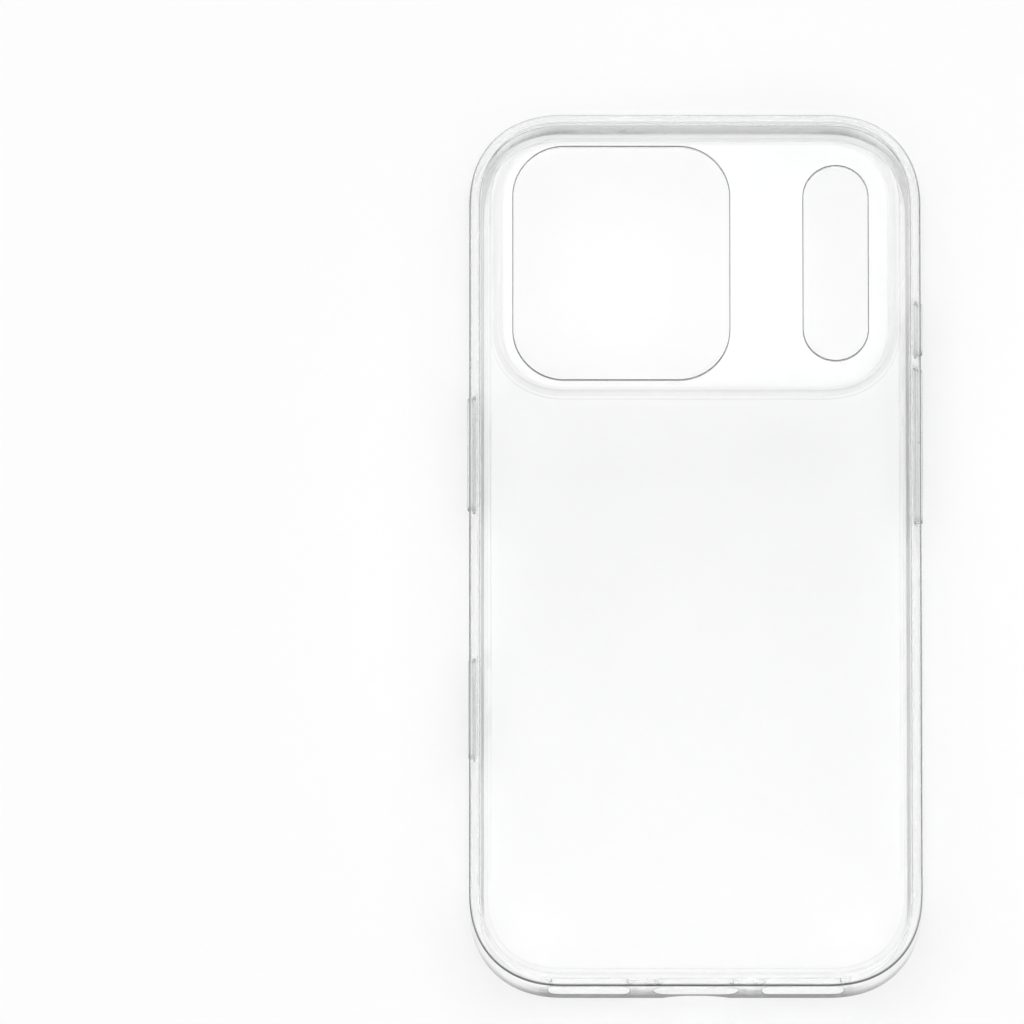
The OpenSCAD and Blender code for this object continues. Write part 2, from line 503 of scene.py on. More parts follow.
@dataclass(frozen=True)
class ClearFinish:
    """A clear moulded resin: colour, bending of light, gloss, ripple, marks of use, and painted dark shade
    along its rounded edges and marked lines.
    """

    name: str
    slot: str
    bending: float
    clear: tuple[float, float, float]
    cast: tuple[float, float, float]
    smooth: float
    rubbed: float
    hairlines: float
    wave: float
    ripple: float
    absorbed: tuple[float, float, float]
    density: float
    # near-black colour of the painted shade that stands for the dark lines bent light draws at clear edges
    shade_paint_colour: float = 0.005

    def material(self, groups: dict[str, bpy.types.NodeTree]) -> bpy.types.Material:
        """Builds the material.

        Args:
            groups: the shared node groups by name.

        Returns:
            The finished material.
        """
        mat = bpy.data.materials.new(self.name)
        mat.use_nodes = True
        tree = mat.node_tree
        shader = tree.nodes["Principled BSDF"]
        shader.inputs["IOR"].default_value = self.bending
        shader.inputs["Transmission Weight"].default_value = 1.0
        own = tree.nodes.new("ShaderNodeTexCoord")
        place = own.outputs["Object"]

        def use(group: str, **values: object) -> bpy.types.Node:
            """Adds a shared group that reads this material's place.

            Args:
                group: the group's name.
                values: its inputs' values by name, with _ for a space.

            Returns:
                The group's node.
            """
            node = tree.nodes.new("ShaderNodeGroup")
            node.node_tree = groups[group]
            tree.links.new(place, node.inputs["Place"])
            for label, value in values.items():
                node.inputs[label.replace("_", " ")].default_value = value
            return node

        tint = use("resin_tint", Clear=(*self.clear, 1), Cast=(*self.cast, 1))
        normal = tree.nodes.new("ShaderNodeSeparateXYZ")
        tree.links.new(own.outputs["Normal"], normal.inputs[0])
        steep = tree.nodes.new("ShaderNodeMapRange")
        steep.inputs["From Min"].default_value = STEEP_FROM
        steep.inputs["From Max"].default_value = STEEP_FULL
        tree.links.new(add_math(tree, "ABSOLUTE", normal.outputs["Z"]), steep.inputs["Value"])

        def read(label: str) -> bpy.types.NodeSocket:
            """Reads one of the mesh's marks.

            Args:
                label: the mark's name.

            Returns:
                Its value at the point that is shaded.
            """
            node = tree.nodes.new("ShaderNodeAttribute")
            node.attribute_name = label
            return node.outputs["Fac"]

        # painted shade: the colour goes towards near black on steep rounded edges and along the marked lines
        drawn = add_math(tree, "MULTIPLY", steep.outputs[0], read("edge_shade_paint"))
        mix = tree.nodes.new("ShaderNodeMix")
        mix.data_type = "RGBA"
        # the painted shade acts only on light that has not yet touched the floor
        depth = tree.nodes.new("ShaderNodeLightPath").outputs["Diffuse Depth"]
        direct = add_math(tree, "LESS_THAN", depth, 0.5)
        total_shade_paint = add_math(tree, "MAXIMUM", drawn, read("plain_shade_paint"))
        tree.links.new(add_math(tree, "MULTIPLY", total_shade_paint, direct), mix.inputs["Factor"])
        tree.links.new(tint.outputs["Color"], mix.inputs["A"])
        mix.inputs["B"].default_value = (self.shade_paint_colour, self.shade_paint_colour, self.shade_paint_colour, 1)
        tree.links.new(mix.outputs["Result"], shader.inputs["Base Color"])
        tree.links.new(add_math(tree, "SUBTRACT", 1.0, read("mellow")), shader.inputs["Alpha"])
        marks = use("handling_marks", Smooth=self.smooth, Rubbed=self.rubbed, Hairlines=self.hairlines)
        tree.links.new(marks.outputs["Roughness"], shader.inputs["Roughness"])
        ripple = use("moulding_ripple", Wave=self.wave)
        bump = tree.nodes.new("ShaderNodeBump")
        bump.inputs["Strength"].default_value = 1.0
        bump.inputs["Distance"].default_value = self.ripple
        tree.links.new(ripple.outputs["Height"], bump.inputs["Height"])
        tree.links.new(bump.outputs["Normal"], shader.inputs["Normal"])
        inside = tree.nodes.new("ShaderNodeVolumeAbsorption")
        inside.inputs["Color"].default_value = (*self.absorbed, 1)
        inside.inputs["Density"].default_value = self.density
        tree.links.new(inside.outputs[0], tree.nodes["Material Output"].inputs["Volume"])
        return mat


SOFT_CLEAR = ClearFinish(
    name="soft_clear_resin", slot="soft_clear", bending=1.50, clear=(0.995, 0.997, 1.0),
    cast=(0.985, 0.99, 0.995), smooth=0.0, rubbed=0.02, hairlines=0.2, wave=40.0,
    ripple=0.0000003, absorbed=(0.90, 0.93, 0.96), density=9.0)
HARD_CLEAR = ClearFinish(
    name="hard_clear_resin", slot="hard_clear", bending=1.58, clear=(0.995, 0.997, 1.0),
    cast=(0.99, 0.993, 0.998), smooth=0.0, rubbed=0.02, hairlines=0.6, wave=35.0,
    ripple=0.000002, absorbed=(0.90, 0.93, 0.96), density=5.0)
COVER_CLEAR = ClearFinish(
    name="cover_clear_resin", slot="cover_clear", bending=1.55, clear=(0.99, 0.995, 1.0),
    cast=(0.98, 0.985, 0.99), smooth=0.0, rubbed=0.02, hairlines=0.4, wave=60.0,
    ripple=0.000002, absorbed=(0.90, 0.93, 0.96), density=9.0)


# --- sub-assemblies -----------------------------------------------------------------------


def back_shade(y: np.ndarray) -> np.ndarray:
    """Share of painted shade on the back near the wall, strongest at the camera end, by the place along the
    case.
    """
    return np.interp(y, [-74, -60, 30, 74], [0.16, 0.10, 0.12, 0.30])


@dataclass(frozen=True)
class WallOpening:
    """An opening through the side wall: a slot or a port.

    outline is (half length, half height, corner radius), at the wall's outer face. depths is
    the line from the outer to the inner face: how far in, how far outside the outline, and
    the rounding there.
    """

    side: Side
    offset: float
    height: float
    outline: tuple[float, float, float]
    depths: tuple[tuple[float, float, float], ...]
    mellow: float
    straight_steps: int = 6

    def end_counts(self, end_steps: int) -> tuple[int, int]:
        """Shares out an end's steps.

        Args:
            end_steps: steps round each end.

        Returns:
            Steps along each corner, and along the straight between.
        """
        flat = self.straight_steps if self.outline[1] - self.outline[2] > 1e-6 else 0
        return (end_steps - flat) // 2, flat

    def rings(self, long_steps: int, end_steps: int) -> list[tuple[np.ndarray, float, float]]:
        """The opening's loops from the outer to the inner face.

        Args:
            long_steps: steps along its upper and lower sides.
            end_steps: steps round each end.

        Returns:
            Loops of (along, up) about its middle, each with its depth in the wall and its painted edge shade
            share.
        """
        arc, flat = self.end_counts(end_steps)
        half_x, half_y, radius = self.outline
        counts = (long_steps, arc, flat, arc, flat)
        return [
            (cap_loop(half_x + out, half_y + out, radius + out, counts), depth, edge)
            for depth, out, edge in round_line(list(self.depths))
        ]


@dataclass
class BumperFrame:
    """The soft clear frame: side wall, lip over the screen, back flange and bonding shelf."""

    width: float
    length: float
    height: float
    corner_reach: float = 16.0
    wall: float = 1.5
    lip_reach: float = 0.9
    lip_nose: float = 0.9
    lip_top: float = 1.8
    seam: float = 2.0
    shelf: float = 3.0
    panel_thickness: float = 1.2
    shelf_thickness: float = 0.6
    rect_low: float = 2.2
    rect_out_high: float = 9.2
    rect_in_high: float = 8.6
    rect_margin: float = 1.08
    end_steps: int = 16
    station_gap: float = 0.85
    dip_width: float = 11.0
    dip_height: float = 1.9
    seam_mellow: float = 0.9
    lip_mellow: float = 0.85
    shoulder_mellow: float = 0.88
    openings: list[WallOpening] = field(default_factory=list)

    def __post_init__(self) -> None:
        """Lays out the outline and the path round it."""
        self.outline = SoftOutline(self.width, self.length, self.corner_reach)
        self.path = WallPath(self.outline)

    def profile(self) -> tuple[np.ndarray, int, int]:
        """The cross-section as a closed line of (depth, height, painted edge shade share), each corner
        rounded.

        The outer and inner faces carry even rows where openings can be cut.

        Returns:
            The line, and where the outer and the inner rows start in it.
        """
        top, low = self.height, self.height - self.panel_thickness
        pocket = low - self.shelf_thickness
        lip = self.wall + self.lip_reach
        corners = [
            (0, 0, 0.2), (0, top, 1.6), (self.seam, top, 0.04), (self.seam, low, 0.04),
            (self.shelf, low, 0.04), (self.shelf, pocket, 0.06), (self.wall, pocket, 0.5),
            (self.wall, self.lip_top, 0.5), (lip, self.lip_nose, 0.25), (lip, 0, 0.4),
        ]
        line = np.array([c[:2] for c in corners], float)
        rounded = [
            round_corner(line[i - 1], line[i], line[(i + 1) % len(line)], corners[i][2],
                         12 if corners[i][2] > 1 else ROUND_STEPS)
            for i in range(len(line))
        ]
        up = np.linspace(self.rect_low, self.rect_out_high, self.end_steps + 1)
        down = np.linspace(self.rect_in_high, self.rect_low, self.end_steps + 1)
        outer = np.column_stack([0 * up, up, 0 * up])
        inner = np.column_stack([0 * down + self.wall, down, 0 * down])
        parts = [rounded[0], outer, *rounded[1:7], inner, *rounded[7:]]
        starts = np.cumsum([0] + [len(p) for p in parts])
        return np.vstack(parts), int(starts[1]), int(starts[8])

    def spans(self) -> list[tuple[float, float]]:
        """The stretch of wall that each opening's patch takes.

        Returns:
            Each stretch's start and end, as distances round the case.
        """
        middles = [self.path.middle(o.side) + o.offset for o in self.openings]
        halves = [o.outline[0] + self.rect_margin for o in self.openings]
        return [(round(m - h, 3), round(m + h, 3)) for m, h in zip(middles, halves)]

    def stations(self) -> np.ndarray:
        """The distances round the case at which the profile is placed.

        They are even, closer at the rim's dip, and hit both ends of each opening's patch.

        Returns:
            The distances, in order.
        """
        fixed = np.unique(np.array(self.spans()).ravel())
        even = np.linspace(0, self.path.total, round(self.path.total / self.station_gap), endpoint=False)
        dip = self.path.middle(Side.CHARGING_END) + np.arange(-7.0, 7.01, 0.35)
        free = np.unique(np.concatenate([even[np.abs(even - dip.mean()) > 7.2], dip]))
        gap = np.abs(free[:, None] - fixed[None, :]).min(1)
        return np.sort(np.concatenate([free[gap > 0.2], fixed]))

    def dipped(self, along: np.ndarray, depth: np.ndarray,
               height: np.ndarray) -> tuple[np.ndarray, np.ndarray]:
        """Lifts the front rim into the dip below the port.

        The dip's line is its height times one minus the distance from its middle, over its half
        width, to the power 2.6, eased to nothing at its ends. Below the openings the profile is
        squeezed over that line, and the lip draws back as it rises.

        Args:
            along: distance round the case.
            depth: depth in the wall.
            height: height over the rim's plane.

        Returns:
            The new depth and height.
        """
        from_middle = np.abs(along - self.path.middle(Side.CHARGING_END)) / (self.dip_width / 2)
        raw = self.dip_height * (1 - from_middle ** 2.6)
        ease = 0.12
        lift = np.where(from_middle < 1.4, 0.5 * (raw + np.sqrt(raw * raw + ease * ease)), 0)
        lift = np.where(lift < 0.004, 0, lift)
        low = np.clip(1 - height / self.rect_low, 0, None)
        share = 1 - 0.85 * np.clip(lift / self.dip_height, 0, 1) * (low > 0)
        drawn = np.where(depth > self.wall, self.wall + (depth - self.wall) * share, depth)
        return drawn, height + lift * low

    def build(self) -> bpy.types.Object:
        """Carries the profile round the case and joins each opening's loops into it.

        Returns:
            The finished frame.
        """
        line, outer, inner = self.profile()
        stations = self.stations()
        along = stations[:, None]
        depth, height = self.dipped(along, line[None, :, 0], line[None, :, 1])
        keep = np.ones((len(stations), len(line)), bool)
        shell = Shell()
        for opening, (start, end) in zip(self.openings, self.spans()):
            first, last = (int(np.argmin(np.abs(stations - v))) for v in (start, end))
            keep[first:last, outer:outer + self.end_steps] = False
            keep[first:last, inner:inner + self.end_steps] = False
            middle = self.path.middle(opening.side) + opening.offset
            rings = opening.rings(last - first, self.end_steps)
            rows = [
                self.path.place(middle + loop[:, 0], at, opening.height + loop[:, 1])
                for loop, at, _ in rings
            ]
            span = stations[first:last + 1]
            rows.insert(0, self.patch_edge(span, line[outer:outer + self.end_steps + 1]))
            rows.append(self.patch_edge(span, line[inner:inner + self.end_steps + 1][::-1]))
            edge = np.array([0, *(ring[2] for ring in rings), 0])[:, None]
            inside = np.array([0, *(float(ring[1] > 0.01) for ring in rings), 0])[:, None]
            grid = np.stack(rows)
            outer_row = np.array([1, *(float(ring[1] < 0.01) for ring in rings), 0])[:, None]
            # painted shade: under the charging end's openings the outer face is painted fully dark
            below = grid[..., 2] < opening.height - opening.outline[1] + 0.02
            below &= opening.side is Side.CHARGING_END
            wall_shade_paint = np.maximum(edge, np.where(below, 1.0, self.foot_shade_paint(grid)) * outer_row)
            shell.add(grid, wrap_columns=True, edge=wall_shade_paint, mellow=inside * opening.mellow)
        grid = self.path.place(along, depth, height)
        # painted shade: dark at steep rounded edges and at the foot of the outer face, easing off up the
        # wall
        outer_face = line[None, :, 0] < 0.01
        wall_shade_paint = np.maximum(line[None, :, 2], np.where(outer_face, self.foot_shade_paint(grid), 0))
        shell.add(grid, True, True, keep, wall_shade_paint, *self.shade_paint_and_mellow(line, grid))
        return shell.make("frame_moulding")

    def foot_shade_paint(self, grid: np.ndarray) -> np.ndarray:
        """Painted dark shade on the outer face: full at the foot of the wall, easing off above it.

        Round the corners it eases off lower down.

        Args:
            grid: the face's points.

        Returns:
            The painted shade share of each point.
        """
        height = grid[..., 2]
        straight = np.interp(height, [2.0, 6.0, 8.0], [1.0, 0.7, 0.1])
        turned = np.interp(height, [1.5, 5.0], [1.0, 0.1])
        share = np.interp(np.abs(grid[..., 0]), [25.0, 30.0], [0.0, 1.0])
        return straight + (turned - straight) * share

    def shade_paint_and_mellow(self, line: np.ndarray, grid: np.ndarray) -> tuple[np.ndarray, np.ndarray]:
        """The painted shade share and the mellow share of each point of the wall.

        The back flange has a soft painted shade, strongest at the camera end. The lip and the seam are
        mellow, so that they draw faint lines.

        Args:
            line: the cross-section.
            grid: the wall's points, stations by rows.

        Returns:
            The painted shade shares and the mellow shares.
        """
        depth, height, y = line[None, :, 0], line[None, :, 1], grid[..., 1]
        flange = (depth > self.wall) & (height > self.height - 0.01)
        # painted shade on the back flange, by the place along the case
        plain_shade_paint = np.where(flange, back_shade(y), 0)
        seam = (depth > self.seam - 0.2) & (height > self.height - 2) & ~flange
        lip = (height < self.rect_low - 0.01) & (depth > 0.001)
        shoulder = (depth > 0.35) & (depth < 1.2) & (height > self.height - 2)
        fillet = (depth > self.wall - 0.01) & (depth < self.seam - 0.02) & (height < self.height - 1)
        at_end = np.interp(y, [-73, -64, -55], [0.9, 0.7, 0.0])
        shares = [self.seam_mellow, self.lip_mellow, self.shoulder_mellow]
        mellow = np.select([seam, lip, shoulder], shares, 0.0)
        return plain_shade_paint, np.maximum(mellow, fillet * at_end)

    def patch_edge(self, span: np.ndarray, rows: np.ndarray) -> np.ndarray:
        """The border of an opening's patch, anticlockwise from its lower left.

        Args:
            span: distances round the case, along the patch.
            rows: (depth, height) of the wall's rows, upwards.

        Returns:
            The border's points.
        """
        last = len(rows) - 1
        along = np.concatenate([span[:-1], np.full(last, span[-1]), span[:0:-1], np.full(last, span[0])])
        level = np.concatenate([np.zeros(len(span) - 1, int), np.arange(last),
                                np.full(len(span) - 1, last), np.arange(last, 0, -1)])
        return self.path.place(along, rows[level, 0], rows[level, 1])


@dataclass
class BackPanel:
    """The hard clear back: a flat panel with the raised camera plateau and its two openings."""

    frame: BumperFrame
    rise: float
    plateau: SoftOutline
    lens: tuple[float, float, float, float, float]
    sensor: tuple[float, float, float, float, float]
    split_x: float = 11.9
    gap: float = 0.02
    lean: float = 1.15
    roof: float = 1.2
    hollow_in: float = 0.2
    hollow_lean: float = 1.55
    corner_steps: int = 72
    side_steps: int = 20
    left_steps: int = 24
    right_steps: int = 12
    split_arc: int = 14
    split_flat: int = 16
    edge_mellow: float = 0.9
    hollow_mellow: float = 0.85
    # shares of painted dark lines: at the plateau's foot, where its roof turns into its slope, and round the
    # openings
    foot_line_paint: float = 0.75
    roof_line_paint: float = 0.40
    cut_line_paint: float = 0.97

    def across(self, outline: SoftOutline) -> np.ndarray:
        """Places along an outline's lower side, with one on the line that splits the plateau.

        Args:
            outline: the outline.

        Returns:
            The places, from -1 on the left to 1.
        """
        split = self.split_x / (outline.width / 2 - outline.reach)
        return np.concatenate([np.linspace(-1, split, self.left_steps + 1)[:-1],
                               np.linspace(split, 1, self.right_steps + 1)])

    def rings(self, outline: SoftOutline, line: np.ndarray) -> list[np.ndarray]:
        """An outline moved out along its normals, at each height of a line.

        Args:
            outline: the outline.
            line: rows of (how far out, height).

        Returns:
            One loop of points for each row.
        """
        points, normals = outline.loop(self.across(outline), self.side_steps, self.corner_steps)
        return [
            np.column_stack([points + normals * out, np.full(len(points), height)])
            for out, height, _ in line
        ]

    def half(self, ring: np.ndarray, left: bool) -> np.ndarray:
        """The part of a plateau ring on one side of the split, closed along the split line.

        Args:
            ring: a whole loop round the plateau.
            left: the lens side, or else the sensor side.

        Returns:
            The closed border of that half.
        """
        top = self.left_steps + 2 * self.right_steps + 2 * self.corner_steps + self.side_steps
        steps = 2 * self.split_arc + self.split_flat
        share = (np.arange(steps) / steps)[:, None]
        low, high = ring[self.left_steps], ring[top]
        if left:
            return np.vstack([ring[:self.left_steps], low + (high - low) * share, ring[top:]])
        return np.vstack([ring[self.left_steps:top], high + (low - high) * share])

    def hole(self, shape: tuple[float, float, float, float, float], line: np.ndarray,
             left: bool) -> list[np.ndarray]:
        """The loops of an opening through the plateau's roof.

        Args:
            shape: its middle's x and y, its half width, half length and corner radius.
            line: rows of (how far outside the shape, height).
            left: the lens side, or else the sensor side.

        Returns:
            One loop of points for each row.
        """
        x, y, half_x, half_y, radius = shape
        outer, inner = (self.corner_steps, self.side_steps), (self.split_arc, self.split_flat)
        counts = (self.left_steps, *inner, *outer) if left else (self.right_steps, *outer, *inner)
        loops = (cap_loop(half_x + out, half_y + out, radius + out, counts, 1e-6) for out in line[:, 0])
        return [
            np.column_stack([loop + (x, y), np.full(len(loop), height)])
            for loop, height in zip(loops, line[:, 1])
        ]

    def build(self) -> bpy.types.Object:
        """Joins the panel, plateau, hollow and openings into one closed mesh.

        Returns:
            The finished panel.
        """
        frame = self.frame
        top = frame.height
        low = top - frame.panel_thickness + self.gap
        pocket = top - frame.panel_thickness - frame.shelf_thickness
        roof_top = top + self.rise
        roof_low = roof_top - self.roof
        seam, shelf = -(frame.seam + self.gap), -(frame.shelf + self.gap)
        foot = round_line([(3, top, 0), (0, top, 0.8), (-self.lean, roof_top, 0.9), (-5, roof_top, 0)])[::-1]
        edge = round_line([(seam - 5, top, 0), (seam, top, 0.04), (seam, low, 0.04), (shelf, low, 0.04),
                           (shelf, pocket, 0.06), (shelf - 5, pocket, 0)])
        hollow = round_line([(3, pocket, 0), (-self.hollow_in, pocket, 0.8),
                             (-self.hollow_in - self.hollow_lean, roof_low, 0.4), (-5, roof_low, 0)])
        edge = np.vstack([[-3.7, top, 0], edge])
        rings = [
            *self.rings(self.plateau, foot), *self.rings(frame.outline, edge),
            *self.rings(self.plateau, hollow),
        ]
        counts = len(foot), len(edge), len(hollow)
        # painted dark shade on the steep part of each rounding
        rounded = np.concatenate([foot[:, 2], edge[:, 2], hollow[:, 2]])[:, None]
        mellow = np.repeat([0.0, self.edge_mellow, self.hollow_mellow], counts)[:, None]
        shaded = np.repeat([0.0, 1.0, 0.0], counts)
        shaded[counts[0]] = 0
        shell, grid = Shell(), np.stack(rings)
        # painted shade on the back near the wall
        plain_shade_paint = shaded[:, None] * back_shade(grid[..., 1]) * (grid[..., 2] > top - 0.01)
        line_share = np.interp(grid[0, :, 1], [28, 45], [1.0, 0.3])
        # a painted shade line at the plateau's foot, and a softer painted shade line where its roof has
        # turned into its slope
        plain_shade_paint[counts[0] - 2] = self.foot_line_paint * line_share
        plain_shade_paint[ROUND_STEPS + 1:ROUND_STEPS + 3] = self.roof_line_paint * line_share
        slope = (grid[..., 2] < roof_top - 0.01) & (np.arange(len(grid))[:, None] < counts[0])
        mellow = np.where(slope, np.interp(grid[..., 1], [28, 45], [0.35, 0.75]), mellow)
        shell.add(grid, wrap_columns=True, edge=rounded, plain_shade_paint=plain_shade_paint, mellow=mellow)
        for shape, left in ((self.lens, True), (self.sensor, False)):
            line = round_line([(3, roof_top, 0), (0, roof_top, 0.13), (0, roof_low, 0.13), (3, roof_low, 0)])
            loops = [self.half(rings[0], left), *self.hole(shape, line, left), self.half(rings[-1], left)]
            # painted dark outlines round the lens and sensor openings
            cut_line_share = np.r_[0, line[:, 2], 0][:, None] * self.cut_line_paint
            shell.add(np.stack(loops), wrap_columns=True, plain_shade_paint=cut_line_share)
        return shell.make("panel_moulding")


@dataclass
class ButtonCover:
    """A clear cap over one of the phone's side buttons, held by a flange behind the wall."""

    name: str
    node: str
    body: str
    side: Side
    length: float
    offset: float
    proud: float
    height: float
    centre_height: float
    flange_at: float
    flange_thickness: float = 0.4
    flange_lap: float = FLANGE_LAP
    dome: float = 0.05
    rib: float = 0.0
    long_steps: int = 40
    back_mellow: float = 0.6
    face_mellow: float = 0.3

    def line(self) -> np.ndarray:
        """The cap's section from the middle of its face round to the middle of its back.

        The face is a shallow dome: its depth grows with the square of the distance from its
        middle.

        Returns:
            Rows of (depth, how far outside its outline, painted edge shade share).
        """
        half = self.height / 2
        rim = -self.proud + self.dome
        behind = self.flange_at + self.flange_thickness
        body = round_line([
            (rim, -half, 0), (rim, 0, 0.22), (self.flange_at, 0, 0.05),
            (self.flange_at, self.flange_lap, 0.06), (behind, self.flange_lap, 0.1), (behind, -half, 0)])
        out = np.linspace(-half, body[0, 1], 8)[:-1]
        share = (out + half) / (body[0, 1] + half)
        face = np.column_stack([-self.proud + self.dome * share ** 2, out, 0 * out])
        inward = np.linspace(body[-1, 1], -half, 4)[1:]
        back = np.column_stack([0 * inward + behind, inward, 0 * inward])
        return np.vstack([face, body, back])

    def build(self, path: WallPath) -> bpy.types.Object:
        """Places the section's loops on the wall.

        Args:
            path: the wall's path.

        Returns:
            The cap.
        """
        half_x, half_y = self.length / 2, self.height / 2
        middle = path.middle(self.side) + self.offset
        loops, line = [], self.line()
        for depth, out in line[:, :2]:
            loop = cap_loop(half_x + out, half_y + out, half_y + out, (self.long_steps, 10, 0, 10, 0))
            deep = np.full(len(loop), depth)
            if self.rib and depth > self.flange_at + self.flange_thickness - 1e-6:
                deep += np.sqrt(np.clip(self.rib ** 2 - loop[:, 0] ** 2, 0, None))
            loops.append(path.place(middle + loop[:, 0], deep, self.centre_height + loop[:, 1]))
        shell = Shell()
        behind, near_edge = line[:, 0:1] > self.flange_at - 0.01, line[:, 1:2] > -0.25
        mellow = np.select([behind, near_edge], [self.back_mellow, self.face_mellow], 0.0)
        # painted dark shade on the cap's steep roundings
        shell.add(np.stack(loops), wrap_columns=True, edge=line[:, 2:3], mellow=mellow)
        return shell.make(self.name)


# --- studio -------------------------------------------------------------------------------


@dataclass
class Studio:
    """A plain pale floor under a plain soft sky, and the camera."""

    tilt: float = 77.0
    turn: float = 0.0
    field: float = 0.17012
    lens: float = 1000.0
    sensor: float = 36.0
    aim: tuple[float, float] = (-0.03040, 0.00830)
    floor_half: float = 9.0
    floor_drop: float = 0.00002
    floor_tone: float = 0.93

    def place_camera(self) -> None:
        """Stands the camera off along the line of sight, far enough to see the field."""
        data = bpy.data.cameras.new("camera")
        data.lens = self.lens
        data.sensor_width = self.sensor
        data.clip_end = 60
        camera = bpy.data.objects.new("camera", data)
        turn, tilt = math.radians(self.turn), math.radians(self.tilt)
        away = Vector((math.sin(turn) * math.cos(tilt), -math.cos(turn) * math.cos(tilt), math.sin(tilt)))
        right = Vector((math.cos(turn), math.sin(turn), 0))
        up = away.cross(right)
        target = right * self.aim[0] + up * self.aim[1]
        camera.location = target + away * (self.field * self.lens / self.sensor)
        camera.rotation_euler = (-away).to_track_quat("-Z", "Y").to_euler()
        bpy.context.scene.collection.objects.link(camera)
        bpy.context.scene.camera = camera

    def lay_floor(self) -> None:
        """Lays a wide, plain, pale and matt floor."""
        mesh = bpy.data.meshes.new("floor")
        half = self.floor_half
        corners = np.array([(-half, -half, 0), (half, -half, 0), (half, half, 0), (-half, half, 0)], float)
        corners[:, 2] = -self.floor_drop
        mesh.from_pydata(corners.tolist(), [], [(0, 1, 2, 3)])
        floor = bpy.data.objects.new("floor", mesh)
        bpy.context.scene.collection.objects.link(floor)
        mat = bpy.data.materials.new("pale_floor")
        mat.use_nodes = True
        tree = mat.node_tree
        shader = tree.nodes["Principled BSDF"]
        shader.inputs["Roughness"].default_value = 1.0
        shader.inputs["Specular IOR Level"].default_value = 0.0
        shader.inputs["Base Color"].default_value = (self.floor_tone, self.floor_tone, self.floor_tone, 1)
        mesh.materials.append(mat)

    def hang_sky(self) -> None:
        """Lights the scene by a sky that is bright overhead and dimmer near the horizon.

        Seen by the camera itself, it is an even pale backdrop.
        """
        world = bpy.data.worlds.new("soft_sky")
        bpy.context.scene.world = world
        world.use_nodes = True
        tree = world.node_tree
        background = tree.nodes["Background"]
        place = tree.nodes.new("ShaderNodeTexCoord").outputs["Generated"]
        split = tree.nodes.new("ShaderNodeSeparateXYZ")
        tree.links.new(place, split.inputs[0])

        def ramp(stops: list[tuple[float, float]]) -> bpy.types.NodeSocket:
            """A brightness by height over the horizon.

            Args:
                stops: heights from 0 to 1, each with its brightness.

            Returns:
                The brightness.
            """
            node = tree.nodes.new("ShaderNodeValToRGB")
            node.color_ramp.interpolation = "EASE"
            while len(node.color_ramp.elements) < len(stops):
                node.color_ramp.elements.new(0.5)
            for element, (where, value) in zip(node.color_ramp.elements, stops):
                element.position = where
                element.color = (value, value, value, 1)
            tree.links.new(split.outputs["Z"], node.inputs[0])
            return node.outputs[0]

        def mix(share: bpy.types.NodeSocket, first: bpy.types.NodeSocket,
                second: bpy.types.NodeSocket) -> bpy.types.NodeSocket:
            """Goes from one colour to another.

            Args:
                share: how much of the second.
                first, second: the colours.

            Returns:
                The mixed colour.
            """
            node = tree.nodes.new("ShaderNodeMix")
            node.data_type = "RGBA"
            tree.links.new(share, node.inputs["Factor"])
            tree.links.new(first, node.inputs["A"])
            tree.links.new(second, node.inputs["B"])
            return node.outputs["Result"]

        light = ramp([(0.0, 0.25), (0.40, 0.45), (0.70, 1.20), (1.0, 1.55)])
        plain = ramp([(0.0, 0.98), (1.0, 1.0)])
        seen = tree.nodes.new("ShaderNodeLightPath").outputs["Is Camera Ray"]
        tree.links.new(mix(seen, light, plain), background.inputs["Color"])
        background.inputs["Strength"].default_value = 1.0

    def build(self) -> None:
        """Sets up camera, floor, sky and how brightness is shown."""
        self.place_camera()
        self.lay_floor()
        self.hang_sky()
        scene = bpy.context.scene
        scene.view_settings.view_transform = "Standard"
        scene.cycles.blur_glossy = 0
        scene.cycles.max_bounces = 20
        scene.cycles.transmission_bounces = 20
        scene.cycles.glossy_bounces = 8


# --- the case -----------------------------------------------------------------------------


PORT = {"width": 14.1, "low": 3.1, "high": 8.2, "radius": 2.4}
SPEAKER = {"width": 13.4, "low": 3.3, "high": 8.4, "radius": 1.2}
SPEAKER_OFFSET = 17.7
PLATEAU_WIDTH, PLATEAU_LENGTH, PLATEAU_REACH = 67.4, 44.7, 12.6
PLATEAU_IN = 3.8  # mm between the camera end and the plateau's foot
OPENINGS_UP = 0.15  # mm from the plateau's middle to the middles of its openings
LENS_X, LENS_WIDTH, LENS_LENGTH, LENS_RADIUS = -12.24, 35.9, 39.7, 8.5
SENSOR_X, SENSOR_WIDTH, SENSOR_LENGTH = 23.35, 10.7, 33.1


def cover_slot(side: Side, offset: float, height: float, length: float, tall: float) -> WallOpening:
    """The slot for a cover, with the recess for its flange behind it.

    Args:
        side: the wall.
        offset: its middle, from the wall's middle, anticlockwise.
        height: its middle's height.
        length: the cover's length.
        tall: the cover's height.

    Returns:
        The opening.
    """
    gap, floor, wall = 0.12, 0.5, 1.5
    half_x, half_y = length / 2 + gap, tall / 2 + gap
    depths = (
        (0, 1.5, 0), (0, 0, 0.12), (floor, 0, 0.05),
        (floor, FLANGE_LAP, 0.08), (wall, FLANGE_LAP, 0.12), (wall, 2.5, 0),
    )
    return WallOpening(side, offset, height, (half_x, half_y, half_y), depths, mellow=0.8)


def end_opening(offset: float, width: float, low: float, high: float, radius: float) -> WallOpening:
    """An opening through the charging end.

    Args:
        offset: its middle, from the case's middle.
        width: its width.
        low: height of its lower edge.
        high: height of its upper edge.
        radius: its corners' radius.

    Returns:
        The opening.
    """
    depths = ((0, 1.5, 0), (0, 0, 0.15), (1.5, 0, 0.1), (1.5, 1.0, 0))
    outline = (width / 2, (high - low) / 2, radius)
    return WallOpening(Side.CHARGING_END, offset, (low + high) / 2, outline, depths, mellow=0.35)


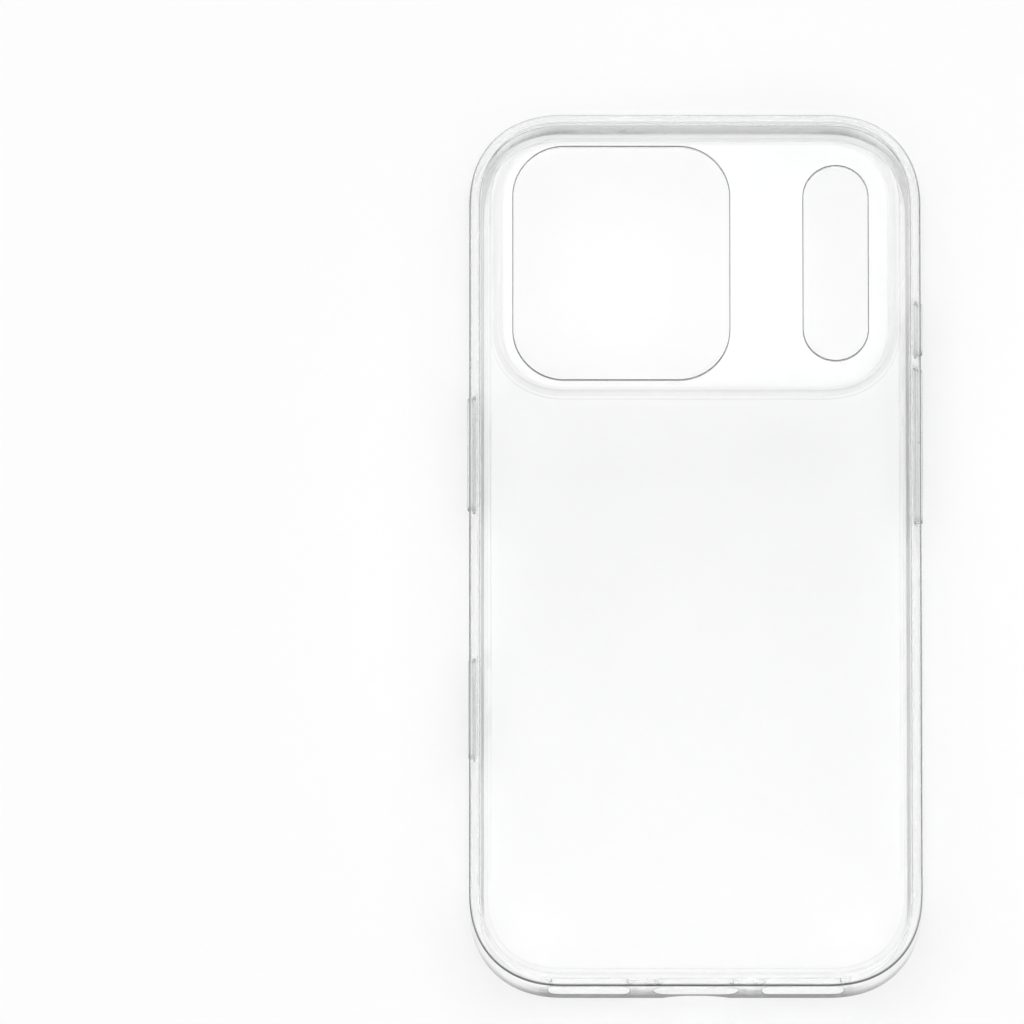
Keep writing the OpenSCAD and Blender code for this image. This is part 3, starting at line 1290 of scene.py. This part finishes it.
def make_covers() -> list[ButtonCover]:
    """Sizes each cover from the box of its CAD node.

    Returns:
        The four covers.
    """
    case_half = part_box("bumper_frame")[1].x
    covers = []
    for name, node, body, side, flange, rib in (
        ("action_cap", "action_button_cover", "action_button", Side.RIGHT, 0.65, 0.0),
        ("volume_cap", "volume_button_cover", "volume_button", Side.RIGHT, 0.85, 0.3),
        ("power_cap", "power_button_cover", "power_button", Side.LEFT, 0.65, 0.0),
        ("camera_control_cap", "camera_control_cover", "camera_control", Side.LEFT, 0.65, 0.0),
    ):
        low, high = (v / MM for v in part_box(node))
        turn = 1 if side is Side.RIGHT else -1
        covers.append(ButtonCover(
            name=name, node=node, body=body, side=side, length=high.y - low.y - 2 * FLANGE_LAP,
            offset=turn * (high.y + low.y) / 2, proud=max(high.x, -low.x) - case_half / MM,
            height=high.z - low.z - 2 * FLANGE_LAP, centre_height=(high.z + low.z) / 2,
            flange_at=flange, rib=rib))
    return covers


def dress(piece: bpy.types.Object, material: bpy.types.Material,
          node: str, body: str) -> None:
    """Gives a piece its material, body and place in the frame, and reports it.

    Args:
        piece: the piece.
        material: the finish's material.
        node: the CAD node that it stands for.
        body: the body that it moves with.
    """
    piece.data.materials.append(material)
    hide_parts(node)
    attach(piece, body)
    log.info("%s stands for %s on %s", piece.name, node, body)


def main() -> None:
    """Builds the case and its studio."""
    logging.basicConfig(level=logging.INFO, format="%(message)s")
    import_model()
    Studio().build()
    groups = {g.name: g for g in (ripple_group(), handling_group(), tint_group())}
    materials = {f.name: f.material(groups) for f in (SOFT_CLEAR, HARD_CLEAR, COVER_CLEAR)}

    low, high = (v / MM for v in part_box("bumper_frame"))
    covers = make_covers()
    openings = [cover_slot(c.side, c.offset, c.centre_height, c.length, c.height) for c in covers]
    openings.append(end_opening(0, **PORT))
    openings += [end_opening(s * SPEAKER_OFFSET, **SPEAKER) for s in (-1, 1)]
    frame = BumperFrame(high.x - low.x, high.y - low.y, high.z - low.z, openings=openings)
    dress(frame.build(), materials[SOFT_CLEAR.name], "bumper_frame", "case")

    plateau_y = high.y - PLATEAU_IN - PLATEAU_LENGTH / 2
    holes_y = plateau_y + OPENINGS_UP
    panel = BackPanel(
        frame=frame, rise=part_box("back_panel")[1].z / MM - high.z,
        plateau=SoftOutline(PLATEAU_WIDTH, PLATEAU_LENGTH, PLATEAU_REACH, centre_y=plateau_y),
        lens=(LENS_X, holes_y, LENS_WIDTH / 2, LENS_LENGTH / 2, LENS_RADIUS),
        sensor=(SENSOR_X, holes_y, SENSOR_WIDTH / 2, SENSOR_LENGTH / 2, SENSOR_WIDTH / 2))
    dress(panel.build(), materials[HARD_CLEAR.name], "back_panel", "case")
    for cover in covers:
        dress(cover.build(frame.path), materials[COVER_CLEAR.name], cover.node, cover.body)


if __name__ == "__main__":
    main()
